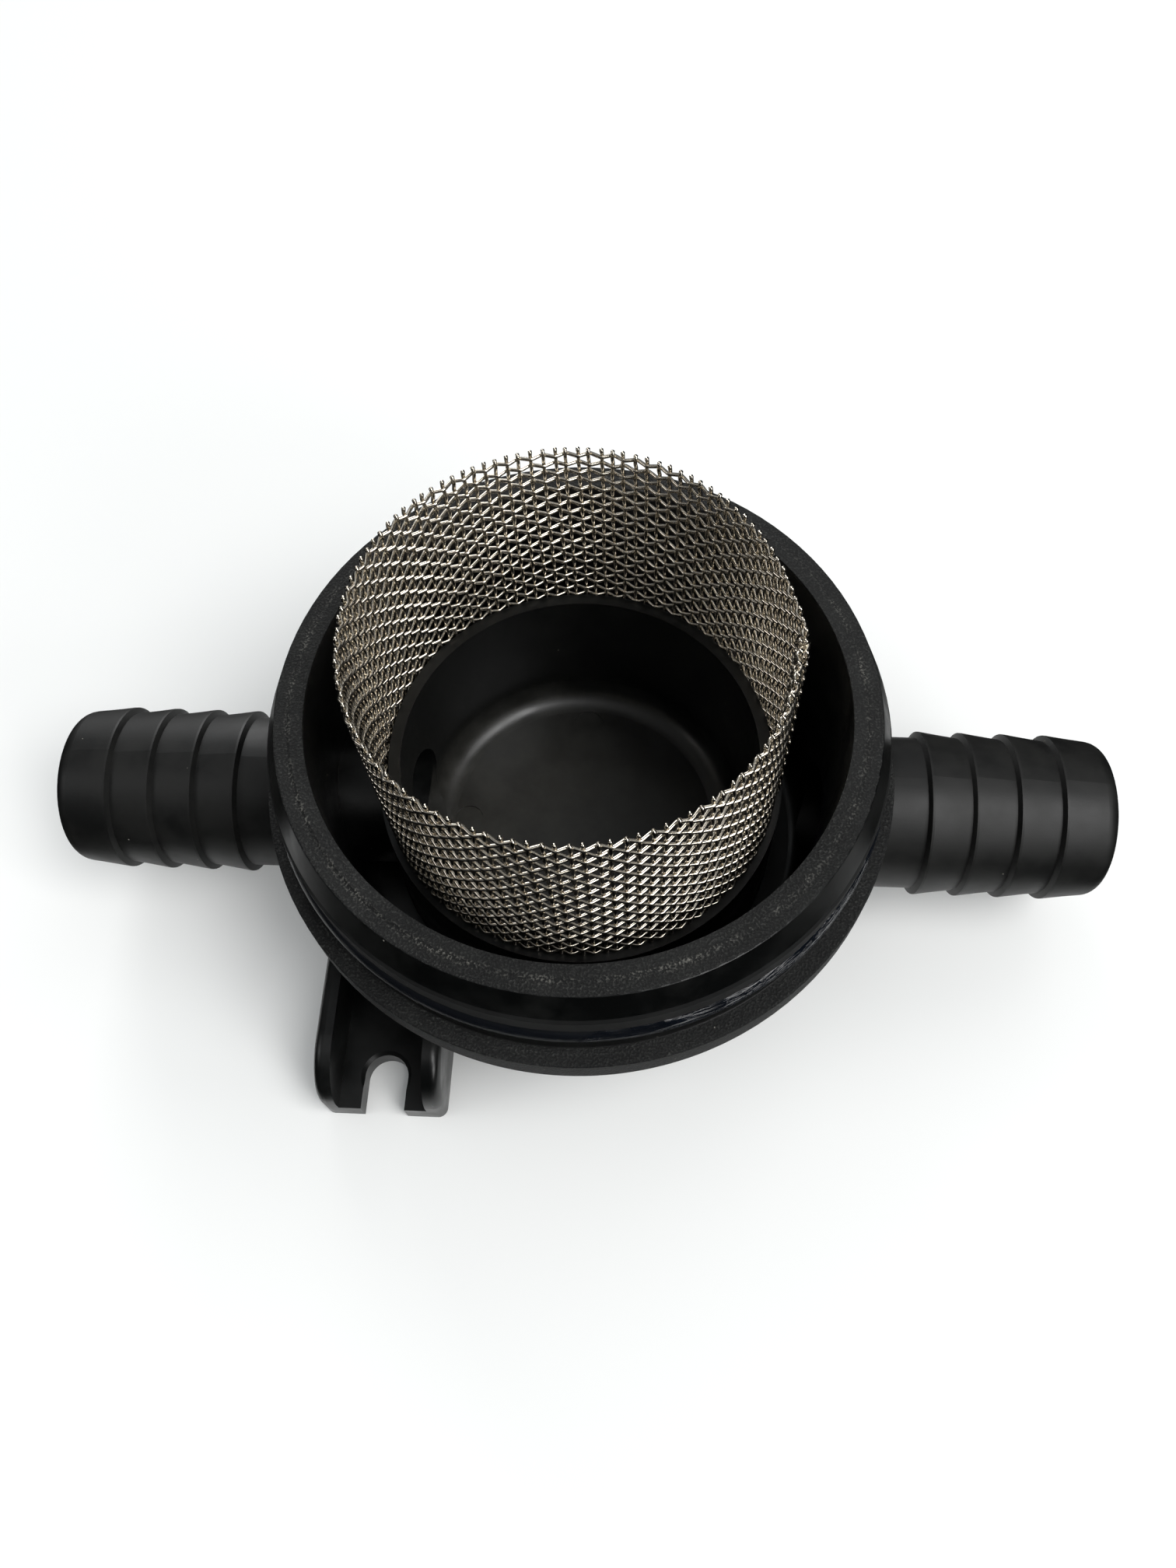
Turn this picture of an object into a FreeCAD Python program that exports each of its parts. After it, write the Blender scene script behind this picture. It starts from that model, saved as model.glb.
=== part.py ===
"""Sea water strainer: an open moulded bowl with two hose barbs, the O-ring of its cover, and its wire screen.

Millimetres.  +Z is up.  The origin is on the bowl's axis, level with the undersides of the two mounting feet.
The inlet barb points along -X and opens into the cup; the outlet barb points along +X and opens into the
chamber round the cup.  Water crosses the screen on its way from the one to the other.
"""
import FreeCAD, Part
import math
import os

V = FreeCAD.Vector
UP = V(0, 0, 1)
ALONG = V(1, 0, 0)

# Heights above the undersides of the feet
rim_height = 54.0
barb_axis_height = 20.8
lip_height = 38.5
ledge_height = 32.3

# Spigot that the cover slides over, from the rim down to the flange
rim_radius = 43.5
rim_edge_round = 0.4
rim_step_radius = 41.2
rim_step_width = 0.4
rim_step_drop = 0.3
spigot_radius = 45.7
lead_in_length = 5.6
upper_land = 3.2
groove_width = 5.2
groove_depth = 3.9
groove_round = 0.4
lower_land = 3.0
flange_radius = 48.5
flange_thickness = 5.3
flange_edge_round = 0.35

# Bowl below the flange
bowl_radius = 42.6
bowl_draft = 0.5
bowl_corner_round = 4.0
floor_thickness = 3.5
chamber_radius = 39.3
chamber_draft = 0.8
chamber_corner_round = 3.0

# Cup in the middle of the bowl
cup_radius = 27.8
cup_draft = 1.2
cup_corner_round = 4.5
lip_width = 1.85
lip_draft = 0.1
ledge_width = 2.15
cup_foot_draft = 0.5
ejector_mark_radius = 2.5
ejector_mark_circle = 20.0
ejector_mark_depth = 0.2
ejector_mark_count = 4

# Hose barbs
barb_reach = 84.5
barb_neck_radius = 12.5
barb_root_radius = 12.6
barb_crest_radius = 13.5
barb_crest_count = 4
first_crest = 55.0
crest_pitch = 6.87
crest_step = 0.45
crest_land = 0.35
barb_nose_radius = 12.4
barb_nose_round = 2.6
bore_mouth_radius = 9.2
bore_radius = 8.0
bore_above_floor = 0.3
tunnel_wall = 3.2
wall_overlap = 1.0

# Mounting feet: each is a plate with a slot open at its end, between two upright ribs
foot_offset = 30.6
foot_width = 20.2
foot_reach = 48.9
foot_inner_end = 15.0
foot_plate_thickness = 4.5
foot_rib_thickness = 2.9
foot_rib_height = 15.4
foot_corner_round = 1.6
foot_end_round = 9.0
slot_width = 7.1
slot_depth = 9.0
slot_edge_chamfer = 0.6

# Cover O-ring
ring_cord = 4.5

# Wire screen: square mesh rolled into a tube and welded where its ends lap
wire_diameter = 0.4
wire_pitch = 1.68
screen_clearance = 0.15
screen_height = 40.0
screen_gap_columns = 24
screen_gap_tiers = 5
screen_gap_width = 5.9
screen_gap_height = 5.9
seam_lap = 5.0
seam_angle = -4.5

# Sizes that follow from the ones above
lead_in_bottom = rim_height - lead_in_length
groove_top = lead_in_bottom - upper_land
groove_bottom = groove_top - groove_width
groove_floor_radius = spigot_radius - groove_depth
flange_top = groove_bottom - lower_land
flange_bottom = flange_top - flange_thickness
floor_top = barb_axis_height - bore_radius - bore_above_floor
floor_bottom = floor_top - floor_thickness
chamber_floor_radius = chamber_radius - chamber_draft
cup_floor_radius = cup_radius - cup_draft
lip_radius = cup_radius + lip_width
lip_foot_radius = lip_radius + lip_draft
ledge_radius = lip_foot_radius + ledge_width
cup_foot_radius = ledge_radius + cup_foot_draft
tunnel_radius = bore_radius + tunnel_wall
screen_inner_radius = lip_foot_radius + screen_clearance
screen_core_radius = screen_inner_radius + wire_diameter
screen_outer_radius = screen_core_radius + wire_diameter


def rounded_wire(corners):
    """Closed wire through (radius, height, round) corners in the XZ plane, each corner eased by a tangent arc."""
    count = len(corners)
    points = [V(radius, 0, height) for radius, height, _ in corners]
    starts = []
    ends = []
    middles = []
    for index, (_, _, easing) in enumerate(corners):
        corner = points[index]
        back = (points[index - 1] - corner).normalize()
        ahead = (points[(index + 1) % count] - corner).normalize()
        half = back.getAngle(ahead) / 2
        run = easing / math.tan(half)
        starts.append(corner + back * run)
        ends.append(corner + ahead * run)
        bisector = (back + ahead).normalize() if easing else back
        middles.append(corner + bisector * (easing / math.sin(half) - easing))
    edges = []
    for index in range(count):
        if corners[index][2]:
            edges.append(Part.Arc(starts[index], middles[index], ends[index]).toShape())
        following = starts[(index + 1) % count]
        edges.append(Part.LineSegment(ends[index], following).toShape())
    return Part.Wire(edges)


def turned(corners, sweep=360.0):
    """Solid of revolution about the bowl's axis."""
    return Part.Face(rounded_wire(corners)).revolve(V(0, 0, 0), UP, sweep)


def bowl_outside():
    """Everything that the outside of the bowl encloses: wall, flange, O-ring groove, lead-in cone and rim."""
    step_inner = rim_step_radius
    step_outer = rim_step_radius + rim_step_width
    return turned([
        (0, floor_bottom, 0),
        (bowl_radius - bowl_draft, floor_bottom, bowl_corner_round),
        (bowl_radius, flange_bottom, 0),
        (flange_radius, flange_bottom, flange_edge_round),
        (flange_radius, flange_top, flange_edge_round),
        (spigot_radius, flange_top, 0),
        (spigot_radius, groove_bottom, 0),
        (groove_floor_radius, groove_bottom, groove_round),
        (groove_floor_radius, groove_top, groove_round),
        (spigot_radius, groove_top, 0),
        (spigot_radius, lead_in_bottom, 0),
        (rim_radius, rim_height - rim_step_drop, rim_edge_round),
        (step_outer, rim_height - rim_step_drop, 0),
        (step_inner, rim_height, 0),
        (0, rim_height, 0),
    ])


def bowl_hollow():
    """The space inside: the chamber, with the cup left standing in it, and the inside of the cup."""
    return turned([
        (0, floor_top, 0),
        (cup_floor_radius, floor_top, cup_corner_round),
        (cup_radius, lip_height, 0),
        (lip_radius, lip_height, 0),
        (lip_foot_radius, ledge_height, 0),
        (ledge_radius, ledge_height, 0),
        (cup_foot_radius, floor_top, 0),
        (chamber_floor_radius, floor_top, chamber_corner_round),
        (chamber_radius, rim_height, 0),
        (chamber_radius, rim_height + wall_overlap, 0),
        (0, rim_height + wall_overlap, 0),
    ])


def barb():
    """The outlet barb, solid: a plain neck, saw-tooth crests with their steep sides inboard, and a round nose."""
    profile = [(0, 0, 0), (0, barb_neck_radius, 0)]
    for index in range(barb_crest_count):
        crest = first_crest + index * crest_pitch
        root = barb_root_radius if index else barb_neck_radius
        profile.append((crest - crest_step, root, 0))
        profile.append((crest, barb_crest_radius, 0))
        profile.append((crest + crest_land, barb_crest_radius, 0))
    profile.append((barb_reach, barb_nose_radius, barb_nose_round))
    profile.append((barb_reach, 0, 0))
    wire = rounded_wire(profile)
    wire.translate(V(0, 0, barb_axis_height))
    return Part.Face(wire).revolve(V(0, 0, barb_axis_height), ALONG, 360)


def mirrored_to_inlet(solid):
    """The same solid on the inlet side."""
    return solid.mirror(V(0, 0, 0), ALONG)


def bore(inner_end):
    """Tapered passage of the outlet barb, from its mouth to inner_end, widest at the mouth."""
    mouth = barb_reach
    return Part.makeCone(
        bore_radius, bore_mouth_radius, mouth - inner_end, V(inner_end, 0, barb_axis_height), ALONG
    )


def tunnel():
    """Tube across the chamber that carries the inlet to the cup, let into the walls at both ends."""
    tube = Part.makeCylinder(tunnel_radius, bowl_radius, V(-bowl_radius, 0, barb_axis_height), ALONG)
    reach = turned([
        (ledge_radius - wall_overlap, floor_top - wall_overlap, 0),
        (chamber_floor_radius + wall_overlap, floor_top - wall_overlap, 0),
        (chamber_floor_radius + wall_overlap, rim_height, 0),
        (ledge_radius - wall_overlap, rim_height, 0),
    ])
    return tube.common(reach)


def foot():
    """The foot at the front of the inlet side: slotted plate, two ribs and the web that closes them inboard."""
    left = -foot_offset - foot_width / 2
    length = foot_reach - foot_inner_end
    block = Part.makeBox(foot_width, length, foot_rib_height, V(left, -foot_reach, 0))
    nose = [e for e in block.Edges if is_rib_tip(e)]
    block = block.makeFillet(foot_end_round, nose)
    outer_end = [e for e in block.Edges if is_upright(e) and e.CenterOfMass.y < -foot_reach + foot_corner_round]
    block = block.makeFillet(foot_corner_round, outer_end)
    channel_width = foot_width - 2 * foot_rib_thickness
    channel = Part.makeBox(
        channel_width,
        length - foot_rib_thickness,
        foot_rib_height,
        V(left + foot_rib_thickness, -foot_reach, foot_plate_thickness),
    )
    foot_solid = block.cut(channel)
    slot_radius = slot_width / 2
    slot_centre = -foot_reach + slot_depth - slot_radius
    slot = Part.makeCylinder(slot_radius, foot_plate_thickness, V(-foot_offset, slot_centre, 0))
    mouth = Part.makeBox(
        slot_width, slot_depth, foot_plate_thickness, V(-foot_offset - slot_radius, slot_centre - slot_depth, 0)
    )
    lead = Part.makeCone(
        slot_radius,
        slot_radius + slot_edge_chamfer,
        slot_edge_chamfer,
        V(-foot_offset, slot_centre, foot_plate_thickness - slot_edge_chamfer),
    )
    return foot_solid.cut([slot, mouth, lead])


def is_upright(edge):
    """True for a straight edge that stands along Z."""
    return len(edge.Vertexes) == 2 and abs(edge.tangentAt(edge.FirstParameter).z) > 0.99


def is_rib_tip(edge):
    """True for the top edge at the outer end of a foot."""
    centre = edge.CenterOfMass
    level = abs(centre.z - foot_rib_height) < 0.01
    return level and abs(centre.y + foot_reach) < 0.01 and edge.BoundBox.YLength < 0.01


def strainer_body():
    """The one-piece moulding."""
    body = bowl_outside()
    front_foot = foot()
    rear_foot = front_foot.copy()
    rear_foot.rotate(V(0, 0, 0), UP, 180)
    outlet = barb()
    body = body.fuse([front_foot, rear_foot, outlet, mirrored_to_inlet(outlet)])
    body = body.cut(bowl_hollow())
    body = body.fuse(tunnel())
    outlet_bore = bore((cup_foot_radius + chamber_floor_radius) / 2)
    inlet_bore = mirrored_to_inlet(bore(cup_floor_radius - cup_corner_round))
    body = body.cut([outlet_bore, inlet_bore])
    marks = []
    for index in range(ejector_mark_count):
        mark = Part.makeCylinder(
            ejector_mark_radius, ejector_mark_depth, V(ejector_mark_circle, 0, floor_top - ejector_mark_depth)
        )
        mark.rotate(V(0, 0, 0), UP, 360.0 / ejector_mark_count * index)
        marks.append(mark)
    return body.cut(marks).removeSplitter()


def cover_o_ring():
    """O-ring of round section, stretched on the groove's floor and lying on its lower side."""
    ring_radius = groove_floor_radius + ring_cord / 2
    return Part.makeTorus(ring_radius, ring_cord / 2, V(0, 0, groove_bottom + ring_cord / 2), UP)


def ridged_wall(sweep, inner, core, outer):
    """Wall of the screen: smooth inside, with a ridge outside for each pair of cross wires."""
    ridge_count = max(1, round(screen_height / (2 * wire_pitch)))
    ridge = screen_height / ridge_count
    profile = [(inner, ledge_height, 0), (core, ledge_height, 0)]
    for index in range(ridge_count):
        foot_of_ridge = ledge_height + index * ridge
        profile.append((outer, foot_of_ridge + ridge / 2, 0))
        profile.append((core, foot_of_ridge + ridge, 0))
    profile.append((inner, ledge_height + screen_height, 0))
    return turned(profile, sweep)


def mesh_screen():
    """Screen standing on the cup's ledge, round the lip, with a strip of double thickness at its welded seam."""
    wall = ridged_wall(360.0, screen_inner_radius, screen_core_radius, screen_outer_radius)
    lap_sweep = math.degrees(seam_lap / screen_outer_radius)
    lap = ridged_wall(lap_sweep, screen_core_radius, screen_outer_radius, screen_outer_radius + wire_diameter)
    lap.rotate(V(0, 0, 0), UP, seam_angle - lap_sweep / 2)
    tier_pitch = screen_height / screen_gap_tiers
    gaps = []
    for tier in range(screen_gap_tiers):
        middle = ledge_height + (tier + 0.5) * tier_pitch
        for column in range(screen_gap_columns):
            gap = Part.makeBox(
                2 * wire_diameter + 2,
                screen_gap_width,
                screen_gap_height,
                V(screen_inner_radius - 1, -screen_gap_width / 2, middle - screen_gap_height / 2),
            )
            gap.rotate(V(0, 0, 0), UP, seam_angle + 360.0 * (column + 0.5) / screen_gap_columns)
            gaps.append(gap)
    return wall.cut(gaps).fuse(lap)


NODES = {
    "strainer_body": strainer_body,
    "cover_o_ring": cover_o_ring,
    "mesh_screen": mesh_screen,
}

os.makedirs("parts", exist_ok=True)
for node, make in NODES.items():
    shape = make()
    shape.exportStep("parts/" + node + ".step")
    print(node, "valid", shape.isValid(), "solids", len(shape.Solids), "volume", round(shape.Volume, 1))
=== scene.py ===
import math

import bpy
import numpy as np
from mathutils import Matrix, Vector


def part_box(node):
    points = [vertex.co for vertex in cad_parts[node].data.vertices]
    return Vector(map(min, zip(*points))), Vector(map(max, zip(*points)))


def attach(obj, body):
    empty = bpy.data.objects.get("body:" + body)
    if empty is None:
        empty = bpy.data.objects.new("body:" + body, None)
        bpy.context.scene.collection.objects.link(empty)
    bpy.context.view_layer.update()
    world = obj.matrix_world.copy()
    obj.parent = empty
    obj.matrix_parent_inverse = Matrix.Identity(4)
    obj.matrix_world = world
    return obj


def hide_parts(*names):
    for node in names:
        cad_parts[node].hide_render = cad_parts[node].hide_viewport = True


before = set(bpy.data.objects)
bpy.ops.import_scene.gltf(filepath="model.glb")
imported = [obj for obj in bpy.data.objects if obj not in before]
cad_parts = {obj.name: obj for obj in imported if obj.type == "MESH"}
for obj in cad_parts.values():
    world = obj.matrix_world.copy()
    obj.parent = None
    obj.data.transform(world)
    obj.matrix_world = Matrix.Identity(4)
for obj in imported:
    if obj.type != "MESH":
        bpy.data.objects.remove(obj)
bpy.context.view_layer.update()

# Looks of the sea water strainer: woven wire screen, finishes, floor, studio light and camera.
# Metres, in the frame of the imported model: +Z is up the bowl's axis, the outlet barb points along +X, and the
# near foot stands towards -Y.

MM = 0.001
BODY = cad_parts["strainer_body"]
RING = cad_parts["cover_o_ring"]
BODY_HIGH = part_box("strainer_body")[1]
SCREEN_LOW, SCREEN_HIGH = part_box("mesh_screen")
RING_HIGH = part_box("cover_o_ring")[1]

# Wire screen
WIRE = 0.56 * MM
UPRIGHTS_ROUND = 114
CROSS_WIRES = 23
STUB = 1.3 * MM
CROSS_CRIMP = 0.31 * MM
UPRIGHT_CRIMP = 0.24 * MM
CLOTH_RADIUS = (SCREEN_HIGH[1] - SCREEN_LOW[1]) / 2 - 0.35 * MM
CLOTH_FOOT = SCREEN_LOW[2]
CLOTH_HEIGHT = SCREEN_HIGH[2] - SCREEN_LOW[2]
LAP_ANGLE = math.radians(9.3)
LAP_RISE = 0.75 * MM
LAP_RAMP = math.radians(16.0)
LEAN = (-0.90 * MM, -0.10 * MM)
FORWARD = 0.2 * MM
WELD_PITCH = 3.55 * MM
WELD_START = 1.3 * MM

# Heights and radii where the moulding's finish changes, in millimetres
RIM_HEIGHT = BODY_HIGH[2] / MM
RIM_INNER = 39.0
RIM_STEP = 41.3
CUP_RADIUS = 27.5
CUP_FLOOR = 12.5
FLANGE_TOP = 37.0
FLANGE_THICKNESS = 5.3
SPIGOT_RADIUS = 45.7
FLANGE_RADIUS = 48.5
RING_RADIUS = RING_HIGH[0] / MM
RING_TOP = RING_HIGH[2] / MM

# Distances along X between which the barbs' wear sets in, in millimetres
BARB_ROOT = 40.5
BARB_WORN = 48.5

# Side towards which the cup's silt is painted paler and thicker as painted light, where the key light falls on
# the cup's floor, and side on which the O-ring's grease lies thickest
PAINTED_LIGHT_SIDE = (-0.92, -0.38, 0.0)
GREASED_SIDE = (0.66, -0.75, 0.0)

# Side that the window stands on, counted from +X towards +Y, in degrees
WINDOW_AZIMUTH = 108

# Radii of the hole in the black tent's floor: at its edge, and where the velvet is full
TENT_HOLE = (0.0675, 0.0705)

# Settings of the Math, VectorMath and Mix nodes
PLUS = {"operation": "ADD"}
TIMES = {"operation": "MULTIPLY"}
LARGER = {"operation": "MAXIMUM"}
ABOVE = {"operation": "GREATER_THAN"}
BELOW = {"operation": "LESS_THAN"}
NEAR = {"operation": "COMPARE"}
TOWARDS = {"operation": "DOT_PRODUCT"}
COLOURS = {"data_type": "RGBA"}


def linear(hex_colour):
    """sRGB hex colour as linear RGBA."""
    parts = [int(hex_colour[i:i + 2], 16) / 255 for i in (1, 3, 5)]
    return tuple(c / 12.92 if c <= 0.04045 else ((c + 0.055) / 1.055) ** 2.4 for c in parts) + (1.0,)


def add(tree, kind, settings=None, **inputs):
    """Adds a node, sets its properties and fills its inputs; _0 or Base_Color names an input.

    A node given as a value links its first output, a socket links itself, and anything else is set as it is.
    """
    node = tree.nodes.new("ShaderNode" + kind)
    for name, value in (settings or {}).items():
        setattr(node, name, value)
    for name, value in inputs.items():
        socket = node.inputs[int(name[1:]) if name[0] == "_" else name.replace("_", " ")]
        if isinstance(value, bpy.types.Node):
            value = value.outputs[0]
        if isinstance(value, bpy.types.NodeSocket):
            tree.links.new(value, socket)
        else:
            socket.default_value = value
    return node


def new_material(name):
    """Empty node material and its tree."""
    material = bpy.data.materials.new(name)
    material.use_nodes = True
    material.node_tree.nodes.clear()
    return material, material.node_tree


def finish_surface(tree, **inputs):
    """Principled surface with these inputs, joined to the material's output."""
    surface = add(tree, "BsdfPrincipled", **inputs)
    add(tree, "OutputMaterial", Surface=surface)


def millimetres(tree):
    """Object coordinates in millimetres: the vector, its z, and cylindrical radius and arc length."""
    coordinates = add(tree, "TexCoord").outputs["Object"]
    vector = add(tree, "VectorMath", {"operation": "SCALE"}, _0=coordinates, Scale=1 / MM)
    x, y, z = add(tree, "SeparateXYZ", _0=vector).outputs
    level = add(tree, "VectorMath", {"operation": "MULTIPLY"}, _0=vector, _1=(1, 1, 0))
    radius = add(tree, "VectorMath", {"operation": "LENGTH"}, _0=level).outputs[1]
    angle = add(tree, "Math", {"operation": "ARCTAN2"}, _0=y, _1=x)
    arc = add(tree, "Math", TIMES, _0=angle, _1=radius)
    return vector, z, radius, arc


def eroded_faces(tree, z, radius):
    """How matt the spark-eroded tool leaves each face: 1 on the rim and flange top, 0.7 on the flange side."""
    past_inner = add(tree, "Math", ABOVE, _0=radius, _1=RIM_INNER)
    at_rim = add(tree, "Math", NEAR, _0=z, _1=RIM_HEIGHT, _2=0.45)
    rim = add(tree, "Math", TIMES, _0=at_rim, _1=past_inner)
    at_top = add(tree, "Math", NEAR, _0=z, _1=FLANGE_TOP, _2=0.12)
    past_spigot = add(tree, "Math", ABOVE, _0=radius, _1=SPIGOT_RADIUS + 0.1)
    within = add(tree, "Math", BELOW, _0=radius, _1=FLANGE_RADIUS + 0.1)
    top = add(tree, "Math", TIMES, _0=at_top, _1=past_spigot)
    top = add(tree, "Math", TIMES, _0=top, _1=within)
    in_band = add(tree, "Math", NEAR, _0=z, _1=FLANGE_TOP - FLANGE_THICKNESS / 2, _2=FLANGE_THICKNESS / 2)
    at_side = add(tree, "Math", NEAR, _0=radius, _1=FLANGE_RADIUS, _2=0.3)
    side = add(tree, "Math", TIMES, _0=in_band, _1=at_side)
    side = add(tree, "Math", TIMES, _0=side, _1=0.7)
    level = add(tree, "Math", LARGER, _0=rim, _1=top)
    return add(tree, "Math", LARGER, _0=level, _1=side)


def worn_barbs(tree, vector, z):
    """1 on the hose barbs, fading in from their roots."""
    sideways = add(tree, "VectorMath", TOWARDS, _0=vector, _1=(1, 0, 0)).outputs["Value"]
    reach = add(tree, "Math", {"operation": "ABSOLUTE"}, _0=sideways)
    outward = add(tree, "MapRange", _0=reach, _1=BARB_ROOT, _2=BARB_WORN, _3=0.0, _4=1.0)
    under_flange = add(tree, "Math", BELOW, _0=z, _1=FLANGE_TOP - 1.0)
    return add(tree, "Math", TIMES, _0=outward, _1=under_flange)


def cup_silt_and_painted_light(tree, vector, z, radius, cloud):
    """How pale the cup's floor is painted: dried silt in smudges, plus painted light that makes it paler
    towards the side the key light reaches.
    """
    in_cup = add(tree, "Math", BELOW, _0=radius, _1=CUP_RADIUS)
    near_floor = add(tree, "MapRange", _0=z, _1=CUP_FLOOR + 1.0, _2=CUP_FLOOR + 6.0, _3=1.0, _4=0.0)
    settled = add(tree, "Math", TIMES, _0=in_cup, _1=near_floor)
    # Painted light: the silt is painted paler towards the side of the cup's floor that the key light reaches
    # and darker on the side in the shade of the cup's wall.
    towards = add(tree, "VectorMath", TOWARDS, _0=vector, _1=PAINTED_LIGHT_SIDE).outputs["Value"]
    side = add(tree, "MapRange", _0=towards, _1=-20.0, _2=20.0, _3=0.0, _4=1.3)
    smudges_and_painted_light = add(tree, "Math", TIMES, _0=cloud, _1=side)
    return add(tree, "Math", TIMES, _0=settled, _1=smudges_and_painted_light)


def step_crumbs(tree, radius, eroded, cloud, sand):
    """Crumbs of dust along the rim's step, in patches, gone 0.5 mm inside it and 1 mm outside it."""
    inside = add(tree, "MapRange", _0=radius, _1=RIM_STEP - 0.5, _2=RIM_STEP, _3=0.0, _4=1.0)
    outside = add(tree, "MapRange", _0=radius, _1=RIM_STEP, _2=RIM_STEP + 1.0, _3=1.0, _4=0.0)
    step = add(tree, "Math", TIMES, _0=inside, _1=outside)
    step = add(tree, "Math", TIMES, _0=step, _1=eroded)
    patchy = add(tree, "MapRange", _0=cloud, _1=0.44, _2=0.66, _3=0.1, _4=1.0)
    crumbs = add(tree, "MapRange", _0=sand, _1=0.50, _2=0.68, _3=0.0, _4=0.9)
    crumbs = add(tree, "Math", TIMES, _0=patchy, _1=crumbs)
    return add(tree, "Math", TIMES, _0=crumbs, _1=step)


def stray_specks(tree, vector):
    """1 on single specks of dust, about 0.2 mm across, in one of ten cells of 2.6 mm."""
    cells = add(tree, "TexVoronoi", {"feature": "F1"}, Vector=vector, Scale=1 / 2.6)
    pick = add(tree, "SeparateColor", Color=cells.outputs["Color"])
    chosen = add(tree, "Math", ABOVE, _0=pick, _1=0.90)
    speck = add(tree, "Math", BELOW, _0=cells.outputs["Distance"], _1=0.045)
    return add(tree, "Math", TIMES, _0=chosen, _1=speck)


def scuffed_spigot(tree, z, radius):
    """1 on the land of the spigot above the O-ring, where the cover slides on."""
    above_ring = add(tree, "Math", ABOVE, _0=z, _1=RING_TOP)
    at_spigot = add(tree, "Math", NEAR, _0=radius, _1=SPIGOT_RADIUS, _2=0.35)
    return add(tree, "Math", TIMES, _0=above_ring, _1=at_spigot)


def moulding_material():
    """Glass-filled nylon, injection moulded in a polished tool whose rim and flange were spark-eroded.

    Near black with a satin sheen that handling has clouded.  The eroded faces are matt and sandy: dark pits,
    pale grains 0.3 mm across, faint rubbed lines round the rim, and crumbs of dust along its step.  The cover
    has scuffed the spigot above the O-ring, hoses have dulled the barbs, and silt greys the cup's floor.  The
    silt is painted paler towards the side that the key light reaches, as painted light.
    """
    material, tree = new_material("black glass-filled nylon, moulded")
    vector, z, radius, arc = millimetres(tree)
    eroded = eroded_faces(tree, z, radius)
    barbs = worn_barbs(tree, vector, z)
    specks = stray_specks(tree, vector)

    sand = add(tree, "TexNoise", Vector=vector, Scale=1 / 0.34, Detail=2.0, Roughness=0.55)
    satin = add(tree, "TexNoise", Vector=vector, Scale=1 / 0.25, Detail=2.0, Roughness=0.5)
    cloud = add(tree, "TexNoise", Vector=vector, Scale=1 / 7.0, Detail=4.0, Roughness=0.6)
    long_arc = add(tree, "Math", TIMES, _0=arc, _1=0.05)
    round_rim = add(tree, "CombineXYZ", _0=radius, _1=long_arc, _2=z)
    rubbed = add(tree, "TexNoise", Vector=round_rim, Scale=1 / 0.7, Detail=3.0, Roughness=0.65)

    film = add(tree, "MapRange", _0=cloud, _1=0.42, _2=0.68, _3=0.0, _4=1.0)
    colour = add(tree, "Mix", COLOURS, _0=film, _6=linear("#070808"), _7=linear("#121312")).outputs[2]

    lines = add(tree, "MapRange", _0=rubbed, _1=0.50, _2=0.70, _3=0.0, _4=0.7)
    gathered = add(tree, "Math", PLUS, _0=lines, _1=0.45)
    grains = add(tree, "MapRange", _0=sand, _1=0.50, _2=0.72, _3=0.0, _4=1.0)
    grains = add(tree, "Math", TIMES, _0=grains, _1=gathered)
    grains = add(tree, "Math", TIMES, _0=grains, _1=eroded)
    pale = add(tree, "Math", TIMES, _0=grains, _1=0.5)
    colour = add(tree, "Mix", COLOURS, _0=pale, _6=colour, _7=linear("#50514d")).outputs[2]

    bloom = add(tree, "MapRange", _0=cloud, _1=0.35, _2=0.65, _3=0.2, _4=1.0)
    bloom = add(tree, "Math", TIMES, _0=bloom, _1=barbs)
    colour = add(tree, "Mix", COLOURS, _0=bloom, _6=colour, _7=linear("#151513")).outputs[2]

    # Silt on the cup's floor, partly real dust and partly painted light: paler on the side that the key light
    # reaches.
    silt_and_painted_light = cup_silt_and_painted_light(tree, vector, z, radius, cloud)
    colour = add(tree, "Mix", COLOURS, _0=silt_and_painted_light, _6=colour, _7=linear("#3c3b37")).outputs[2]
    crumbs = step_crumbs(tree, radius, eroded, cloud, sand)
    colour = add(tree, "Mix", COLOURS, _0=crumbs, _6=colour, _7=linear("#77756e")).outputs[2]
    dusting = add(tree, "Math", TIMES, _0=specks, _1=0.8)
    colour = add(tree, "Mix", COLOURS, _0=dusting, _6=colour, _7=linear("#8d8a80")).outputs[2]

    smooth = add(tree, "MapRange", _0=cloud, _1=0.35, _2=0.65, _3=0.28, _4=0.42)
    matt = add(tree, "Math", LARGER, _0=eroded, _1=scuffed_spigot(tree, z, radius))
    worn = add(tree, "Math", TIMES, _0=barbs, _1=0.4)
    matt = add(tree, "Math", LARGER, _0=matt, _1=worn)
    roughness = add(tree, "Mix", _0=matt, _2=smooth, _3=0.80)
    matt_specks = add(tree, "Math", TIMES, _0=specks, _1=0.9)
    roughness = add(tree, "Math", LARGER, _0=roughness, _1=matt_specks)

    pits = add(tree, "Math", TIMES, _0=sand, _1=eroded)
    deep_pits = add(tree, "Math", TIMES, _0=pits, _1=0.30)
    orange_peel = add(tree, "Math", TIMES, _0=satin, _1=0.008)
    height = add(tree, "Math", PLUS, _0=deep_pits, _1=orange_peel)
    bump = add(tree, "Bump", Strength=1.0, Distance=MM, Height=height)
    finish_surface(tree, Base_Color=colour, Roughness=roughness, IOR=1.53, Normal=bump)
    return material


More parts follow.
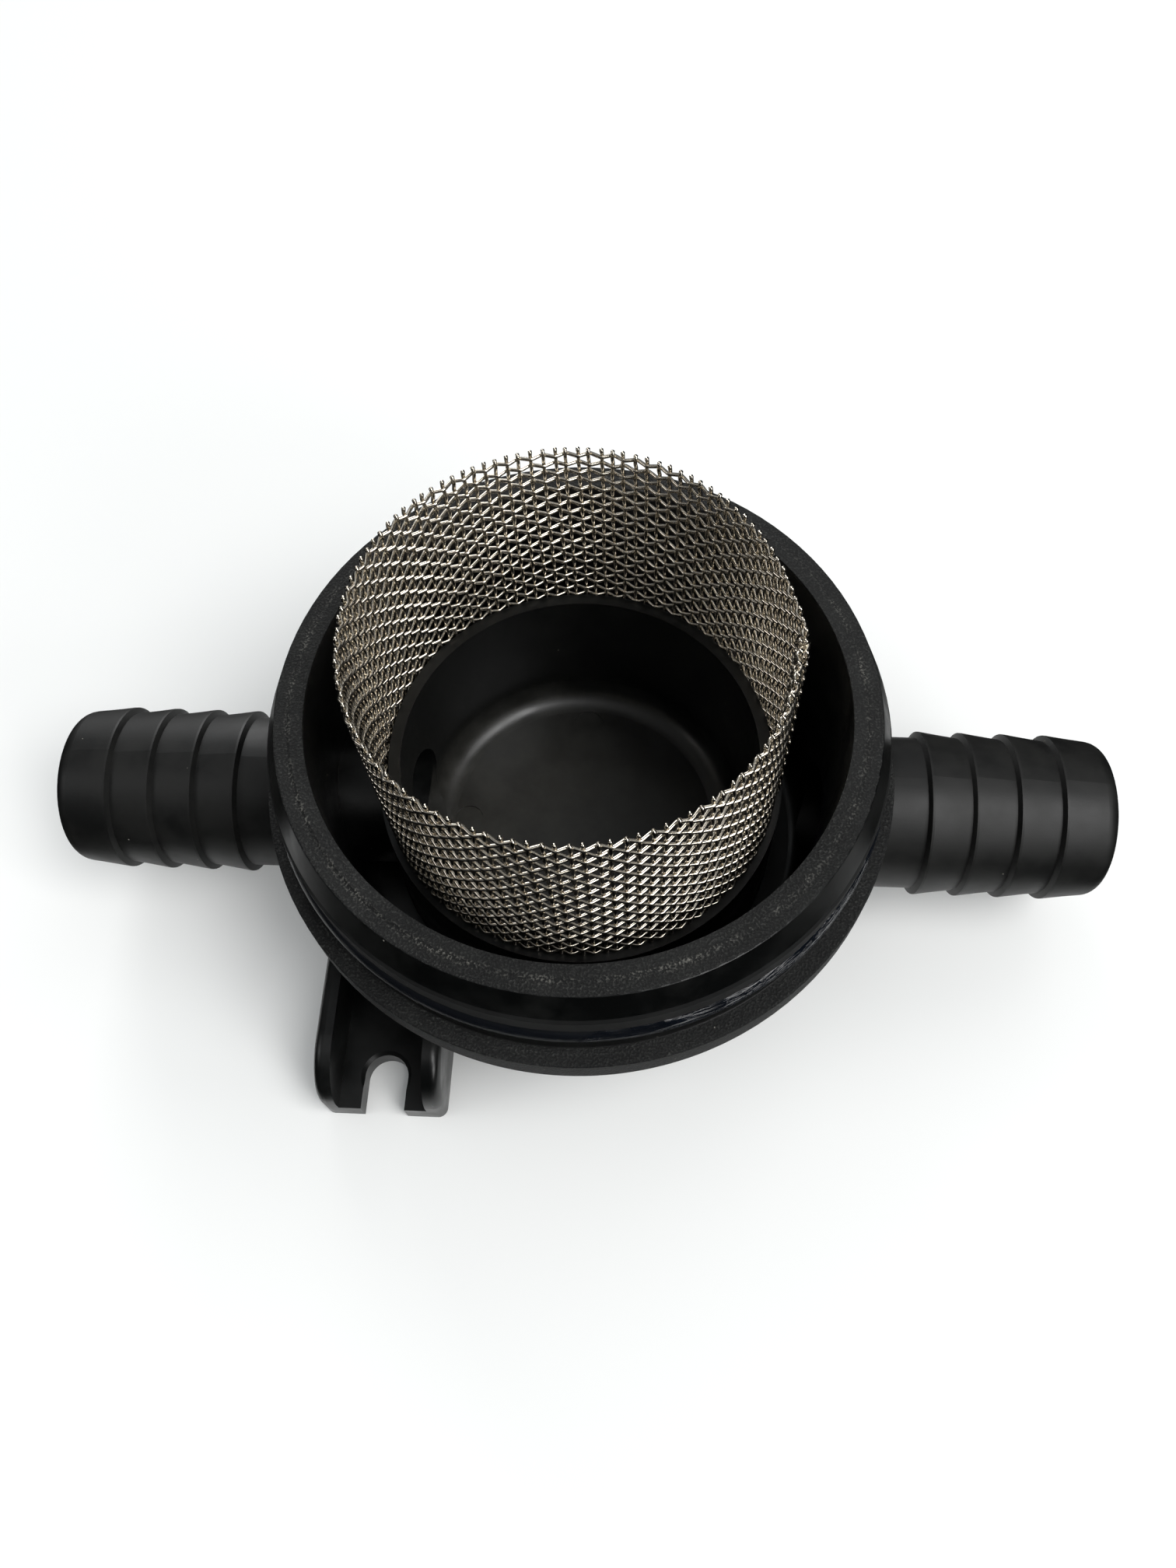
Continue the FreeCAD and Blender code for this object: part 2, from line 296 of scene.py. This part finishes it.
def o_ring_material():
    """Nitrile rubber, moulded and greased: blue-black, dull where it is dry.

    The grease lies in pools, thickest towards the front right, and its ridges break the gloss into streaks.
    """
    material, tree = new_material("greased nitrile rubber")
    vector, z, radius, arc = millimetres(tree)
    short_arc = add(tree, "Math", TIMES, _0=arc, _1=0.12)
    along = add(tree, "CombineXYZ", _0=short_arc, _1=radius, _2=z)
    smear = add(tree, "TexNoise", Vector=along, Scale=1 / 0.6, Detail=3.0, Roughness=0.6)
    pools = add(tree, "TexNoise", Vector=vector, Scale=1 / 9.0, Detail=2.0, Roughness=0.5)
    towards = add(tree, "VectorMath", TOWARDS, _0=vector, _1=GREASED_SIDE).outputs["Value"]
    first, last = 0.75 * RING_RADIUS, 0.98 * RING_RADIUS
    thumbed = add(tree, "MapRange", _0=towards, _1=first, _2=last, _3=-0.06, _4=0.24)
    film = add(tree, "Math", PLUS, _0=pools, _1=thumbed)
    wet = add(tree, "MapRange", _0=film, _1=0.50, _2=0.62, _3=0.0, _4=1.0)
    colour = add(tree, "Mix", COLOURS, _0=smear, _6=linear("#07090d"), _7=linear("#0e1219")).outputs[2]
    roughness = add(tree, "MapRange", _0=wet, _1=0.0, _2=1.0, _3=0.38, _4=0.08)
    ridges = add(tree, "MapRange", _0=wet, _1=0.0, _2=1.0, _3=0.1, _4=0.5)
    height = add(tree, "Math", TIMES, _0=smear, _1=ridges)
    bump = add(tree, "Bump", Strength=1.0, Distance=MM, Height=height)
    finish_surface(tree, Base_Color=colour, Roughness=roughness, IOR=1.52, Normal=bump)
    return material


def wire_material():
    """Stainless steel wire, drawn and woven: bright warm grey metal, tarnished a little from wire to wire.

    The heat attribute gives the temper colours round each weld: straw, brown, violet, then grey scale.
    """
    material, tree = new_material("stainless steel wire, woven")
    vector = millimetres(tree)[0]
    tone = add(tree, "Attribute", {"attribute_name": "tone"}).outputs["Fac"]
    heat = add(tree, "Attribute", {"attribute_name": "heat"}).outputs["Fac"]
    patches = add(tree, "TexNoise", Vector=vector, Scale=1 / 3.0, Detail=2.0, Roughness=0.5)
    mottle = add(tree, "Mix", _0=0.5, _2=tone, _3=patches)
    steel = add(tree, "Mix", COLOURS, _0=mottle, _6=linear("#ece4d5"), _7=linear("#c6bfb3")).outputs[2]
    tempered = add(tree, "ValToRGB", Fac=heat)
    ramp = tempered.color_ramp
    ramp.elements[0].position = 0.15
    ramp.elements[0].color = linear("#c2ab7c")
    ramp.elements[1].position = 1.0
    ramp.elements[1].color = linear("#3b3734")
    for position, hex_colour in ((0.38, "#b07f35"), (0.58, "#6d3a2c"), (0.76, "#463a63")):
        ramp.elements.new(position).color = linear(hex_colour)
    burnt = add(tree, "MapRange", _0=heat, _1=0.05, _2=0.25, _3=0.0, _4=1.0)
    colour = add(tree, "Mix", COLOURS, _0=burnt, _6=steel, _7=tempered).outputs[2]
    drawn = add(tree, "MapRange", _0=mottle, _1=0.3, _2=0.7, _3=0.18, _4=0.27)
    scaled = add(tree, "Math", TIMES, _0=heat, _1=0.25)
    roughness = add(tree, "Math", PLUS, _0=drawn, _1=scaled)
    finish_surface(tree, Base_Color=colour, Metallic=1.0, Roughness=roughness)
    return material


def floor_material():
    """Matt white paper sweep."""
    material, tree = new_material("white paper")
    finish_surface(tree, Base_Color=linear("#f6f6f4"), Roughness=0.9)
    return material


def mesh_piece(name, points, faces, material, **attributes):
    """Smooth mesh object at the origin from point and quad arrays, with one float attribute per name."""
    mesh = bpy.data.meshes.new(name)
    mesh.from_pydata(points, [], faces)
    mesh.materials.append(material)
    mesh.polygons.foreach_set("use_smooth", np.ones(len(faces), bool))
    for attribute, values in attributes.items():
        mesh.attributes.new(attribute, "FLOAT", "POINT").data.foreach_set("value", values)
    mesh.update()
    piece = bpy.data.objects.new(name, mesh)
    bpy.context.scene.collection.objects.link(piece)
    return piece


def tubes(paths, across, radius, sides):
    """Round wires along many paths at once, with flat ends.

    paths is wires x stations x 3.  At each station the wire's direction T is the path's slope, and the
    section is path + radius (cos a N + sin a B), with N = T x across and B = T x N, so faces point outwards.
    """
    slope = np.gradient(paths, axis=1)
    slope /= np.linalg.norm(slope, axis=2, keepdims=True)
    normal = np.cross(slope, across)
    normal /= np.linalg.norm(normal, axis=2, keepdims=True)
    binormal = np.cross(slope, normal)
    turn = np.linspace(0, 2 * np.pi, sides, endpoint=False)[None, None, :, None]
    points = paths[:, :, None] + radius[..., None, None] * (
        np.cos(turn) * normal[:, :, None] + np.sin(turn) * binormal[:, :, None]
    )
    wires, stations = paths.shape[:2]
    first = np.arange(wires * stations * sides).reshape(wires, stations, sides)
    beside = np.roll(first, -1, axis=2)
    walls = np.stack([first[:, :-1], beside[:, :-1], beside[:, 1:], first[:, 1:]], axis=-1).reshape(-1, 4)
    fans = [first[:, end][:, [0, k, k + 1, k + 2]] for end in (0, -1) for k in range(1, sides - 2, 2)]
    half = len(fans) // 2
    ends = np.concatenate([fan[:, ::-1] for fan in fans[:half]] + fans[half:])
    return points.reshape(-1, 3), np.concatenate([walls, ends])


def weave(steps):
    """Crimp of a wire at these crossings: a rounded zigzag, +1 at even crossings and -1 at odd ones.

    It is arcsin(k cos(pi steps)) / arcsin(k), which is a cosine for small k and a sharp zigzag for k = 1.
    """
    sharpness = 0.96
    return np.arcsin(sharpness * np.cos(np.pi * steps)) / math.asin(sharpness)


def bends(first, last):
    """Stations along a wire from the first crossing to the last: four close together at each bend."""
    crossings = np.arange(first, last + 1)[:, None]
    return (crossings + np.array([-0.17, -0.055, 0.055, 0.17])).ravel()


def cloth_point(turned, height, outward):
    """Point of the rolled cloth, from the angle turned since its inner edge and the height above its foot.

    The cloth winds clockwise from +X at a constant radius, climbs one thickness before the turn is complete,
    and lies over its own start for the lap.  Up the tube it grows oval, narrower along X, and leans.
    """
    climb = np.clip((turned - 2 * np.pi + LAP_RAMP) / LAP_RAMP, 0, 1)
    share = height / CLOTH_HEIGHT
    angle = -turned
    oval = MM * share * (-0.10 - 0.28 * np.cos(2 * angle) + 0.06 * np.cos(5 * angle))
    radius = CLOTH_RADIUS + LAP_RISE * climb * climb * (3 - 2 * climb) + oval + outward
    x = radius * np.cos(angle) + LEAN[0] * share
    y = radius * np.sin(angle) + LEAN[1] * share - FORWARD
    return np.stack(np.broadcast_arrays(x, y, CLOTH_FOOT + height), axis=-1)


def weld_heat(points):
    """How hot each point got, as exp(-(d / 1.2 mm)^2) of its distance d from a weld of the seam."""
    welds = weld_places()
    apart = np.linalg.norm(points[:, None] - welds[None], axis=2)
    strength = np.where(np.arange(len(welds)) == 0, 0.5, 0.95)
    return (strength * np.exp(-((apart / (1.2 * MM)) ** 2))).max(axis=1)


def weld_places():
    """Centres of the welds, one above the other down the seam, between the two layers of cloth."""
    heights = np.arange(CLOTH_HEIGHT - WELD_START, 2 * MM, -WELD_PITCH)
    return cloth_point(math.radians(0.6), heights, 0.35 * MM)


def row_heights():
    """Heights of the cross wires above the cloth's foot."""
    return np.linspace(0.9 * MM, CLOTH_HEIGHT - STUB, CROSS_WIRES)


def upright_wires(material):
    """Wires up the tube: nearly straight, bent a little at each crossing, cut off above the last row."""
    pitch = 2 * np.pi / UPRIGHTS_ROUND
    count = int((2 * np.pi + LAP_ANGLE) / pitch)
    index = np.arange(count)
    rows = row_heights()
    row_pitch = rows[1] - rows[0]
    stub = STUB / row_pitch
    steps = np.concatenate([[-stub], bends(0, CROSS_WIRES - 1), [CROSS_WIRES - 1 + stub]])
    heights = rows[0] + steps * row_pitch
    crimp = weave(np.clip(steps, -0.5, CROSS_WIRES - 0.5))
    rng = np.random.default_rng(4)
    stray = rng.normal(0, 0.05, count)[:, None] * pitch
    sway = rng.normal(0, 0.05, count)[:, None] * pitch * np.sin(steps[None] * 0.31 + index[:, None])
    turned = (index[:, None] + 0.4) * pitch + stray + sway
    sign = np.where(index % 2, -1, 1)[:, None]
    ends = rng.normal(0, 0.06, (count, 2)) * MM
    heights = np.repeat(heights[None], count, axis=0)
    heights[:, 0] = np.abs(ends[:, 0])
    heights[:, -1] = np.minimum(heights[:, -1] + ends[:, 1], CLOTH_HEIGHT - 0.08 * MM)
    paths = cloth_point(turned, heights, -UPRIGHT_CRIMP * sign * crimp[None])
    across = np.stack([-np.sin(-turned), np.cos(-turned), np.zeros_like(turned)], axis=-1)
    radius = np.full(turned.shape, WIRE / 2)
    radius[:, [0, -1]] *= 1.15
    points, faces = tubes(paths, across, radius, 6)
    tone = np.repeat(rng.random(count), paths.shape[1] * 6)
    return mesh_piece("screen_upright_wires", points, faces, material, tone=tone, heat=weld_heat(points))


def cross_wires(material):
    """Wires round the tube, crimped over and under the uprights, each row starting on the other side."""
    pitch = 2 * np.pi / UPRIGHTS_ROUND
    span = (2 * np.pi + LAP_ANGLE) / pitch
    steps = bends(0, int(span) - 1)
    rows = row_heights()
    rng = np.random.default_rng(9)
    row = np.arange(CROSS_WIRES)[:, None]
    waves = np.arange(1, 4)[:, None, None]
    phase = rng.random((3, CROSS_WIRES, 1)) * 2 * np.pi
    wander = (rng.normal(0, 0.05, (3, CROSS_WIRES, 1)) * np.sin(waves * steps * pitch + phase)).sum(axis=0)
    wander[[0, -1]] = np.minimum(wander[[0, -1]], 0.1)
    sign = np.where(row % 2, -1, 1)
    heights = rows[:, None] + wander * MM
    turned = (steps[None] + 0.4) * pitch + np.zeros_like(heights)
    paths = cloth_point(turned, heights, CROSS_CRIMP * sign * weave(steps)[None])
    across = np.broadcast_to(np.array([0.0, 0.0, 1.0]), paths.shape)
    radius = np.full(turned.shape, WIRE / 2)
    points, faces = tubes(paths, across, radius, 8)
    tone = np.repeat(rng.random(CROSS_WIRES), paths.shape[1] * 8)
    return mesh_piece("screen_cross_wires", points, faces, material, tone=tone, heat=weld_heat(points))


def seam_welds(material):
    """Beads of the seam: lumpy flattened balls, centre + n (0.75, 0.45, 0.7) mm for each unit vector n."""
    centres = weld_places()
    polar = np.linspace(0, np.pi, 9)[:, None]
    turn = np.linspace(0, 2 * np.pi, 12, endpoint=False)[None]
    ring = np.sin(polar)
    ball = np.stack(np.broadcast_arrays(ring * np.cos(turn), ring * np.sin(turn), np.cos(polar)), axis=-1)
    lumps = 1 + 0.12 * np.sin(5 * ball[..., 0] + 3 * ball[..., 2]) + 0.1 * np.cos(7 * ball[..., 1])
    size = np.array([0.75, 0.45, 0.7]) * MM
    grow = np.where(np.arange(len(centres)) == 0, 1.3, 0.8)
    points = centres[:, None, None] + grow[:, None, None, None] * (ball * lumps[..., None] * size)[None]
    grid = np.arange(points[..., 0].size).reshape(points.shape[:3])
    beside = np.roll(grid, -1, axis=2)
    faces = np.stack([grid[:, :-1], grid[:, 1:], beside[:, 1:], beside[:, :-1]], axis=-1).reshape(-1, 4)
    points = points.reshape(-1, 3)
    heat = 0.33 + 0.15 * np.sin(points[:, 2] / MM * 3.1)
    return mesh_piece("screen_seam_welds", points, faces, material, tone=np.zeros(len(points)), heat=heat)


def softbox(name, place, facing, width, height, radiance):
    """Rectangular soft light at a place, its back turned towards facing."""
    data = bpy.data.lights.new(name, "AREA")
    data.shape = "RECTANGLE"
    data.size = width
    data.size_y = height
    data.energy = radiance * math.pi * width * height
    light = bpy.data.objects.new(name, data)
    bpy.context.scene.collection.objects.link(light)
    light.location = place
    light.rotation_euler = facing.to_track_quat("Z", "Y").to_euler()


def direction(azimuth, elevation):
    """Unit vector, from an azimuth counted from +X towards +Y and a height above level, in degrees."""
    turn = math.radians(azimuth)
    rise = math.radians(elevation)
    return Vector((math.cos(turn) * math.cos(rise), math.sin(turn) * math.cos(rise), math.sin(rise)))


def black_tent():
    """Black velvet that only reflections see: the floor from 70 mm out, and a dome 1.4 m in radius.

    A profile of radius and height turned about the bowl's axis.  At the angle a the floor's hole is wider by
    0.5 cos^8 a, so it reaches under the barbs.  The cover attribute thins the velvet to 0.15 at the hole's
    edge, to nothing within about 15 degrees of the window, and to 0.9 overhead.  It keeps the pale
    surroundings out of the gloss of the black moulding, as black cards do in a studio.
    """
    rise = np.radians([0, 15, 30, 45, 60, 75, 89])
    radii = np.concatenate([TENT_HOLE, 1.4 * np.cos(rise)])
    heights = np.concatenate([[0, 0], 1.4 * np.sin(rise)]) + 0.0005
    cover = np.array([0.15, 1, 1, 1, 0.96, 0.9, 0.9, 0.9, 0.9])
    turn = np.linspace(0, 2 * np.pi, 96, endpoint=False)[:, None]
    from_window = np.abs((turn - math.radians(WINDOW_AZIMUTH) + np.pi) % (2 * np.pi) - np.pi)
    closed = np.clip((from_window - math.radians(9)) / math.radians(12), 0, 1)
    reach = radii * (1 + np.where(radii < 0.1, 0.5, 0.0) * np.cos(turn) ** 8)
    points = np.stack(np.broadcast_arrays(reach * np.cos(turn), reach * np.sin(turn), heights), axis=-1)
    grid = np.arange(points[..., 0].size).reshape(points.shape[:2])
    beside = np.roll(grid, -1, axis=0)
    faces = np.stack([grid[:, :-1], grid[:, 1:], beside[:, 1:], beside[:, :-1]], axis=-1).reshape(-1, 4)
    material, tree = new_material("black velvet")
    thickness = add(tree, "Attribute", {"attribute_name": "cover"}).outputs["Fac"]
    finish_surface(tree, Base_Color=(0, 0, 0, 1), Roughness=1.0, Specular_IOR_Level=0.0, Alpha=thickness)
    tent = mesh_piece("black_tent", points.reshape(-1, 3), faces, material, cover=(cover * closed).ravel())
    for ray in ("camera", "diffuse", "transmission", "volume_scatter", "shadow"):
        setattr(tent, "visible_" + ray, False)


def studio():
    """White floor, black tent, key light high on the right, four fainter softboxes, a window behind."""
    half = 3.0
    corners = np.array([(-half, -half, 0), (half, -half, 0), (half, half, 0), (-half, half, 0)], float)
    floor = mesh_piece("floor", corners, np.array([[0, 1, 2, 3]]), floor_material())
    black_tent()
    middle = Vector((0, 0, BODY_HIGH[2] * 0.8))
    for name, azimuth, elevation, distance, size, radiance in (
        ("key softbox", -28, 57, 0.85, 0.42, 7.5),
        ("fill softbox", -44, 26, 1.2, 0.40, 5.0),
        ("ceiling softbox", -125, 75, 1.2, 0.80, 0.25),
        ("left softbox", -165, 34, 1.2, 0.40, 2.4),
        ("rear softbox", 60, 50, 1.2, 0.45, 0.9),
    ):
        away = direction(azimuth, elevation)
        softbox(name, middle + distance * away, away, size, size, radiance)
    window = direction(WINDOW_AZIMUTH, 0)
    softbox("window", 1.05 * window + Vector((0, 0, 0.5)), window, 0.40, 0.8, 4.5)
    world = bpy.data.worlds.new("studio")
    bpy.context.scene.world = world
    world.use_nodes = True
    world.node_tree.nodes["Background"].inputs[0].default_value = linear("#dfe3e6")
    world.node_tree.nodes["Background"].inputs[1].default_value = 0.65


def camera():
    """Camera above the front, looking down into the bowl."""
    target = Vector((2.1 * MM, -13.4 * MM, BODY_HIGH[2]))
    distance = 162.2 * MM
    elevation = math.radians(63.15)
    azimuth = math.radians(4.43)
    roll = math.radians(-2.07)
    level_back = Vector((math.sin(azimuth), -math.cos(azimuth), 0))
    back = math.cos(elevation) * level_back + Vector((0, 0, math.sin(elevation)))
    level = Vector((math.cos(azimuth), math.sin(azimuth), 0))
    upward = back.cross(level)
    right = math.cos(roll) * level + math.sin(roll) * upward
    up = back.cross(right)
    data = bpy.data.cameras.new("camera")
    data.sensor_fit = "VERTICAL"
    data.sensor_height = 36.0
    data.lens = 27.04
    data.clip_start = 0.005
    eye = bpy.data.objects.new("camera", data)
    bpy.context.scene.collection.objects.link(eye)
    turn = Matrix((right, up, back)).transposed()
    eye.matrix_world = Matrix.Translation(target + back * distance) @ turn.to_4x4()
    bpy.context.scene.camera = eye


def paint(node, material):
    """Gives a CAD node one material."""
    node.data.materials.clear()
    node.data.materials.append(material)


paint(BODY, moulding_material())
paint(RING, o_ring_material())

wire = wire_material()
cloth = [upright_wires(wire), cross_wires(wire), seam_welds(wire)]
for piece in cloth:
    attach(piece, "root")
    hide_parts("mesh_screen")

studio()
camera()
bpy.context.scene.view_settings.view_transform = "Standard"
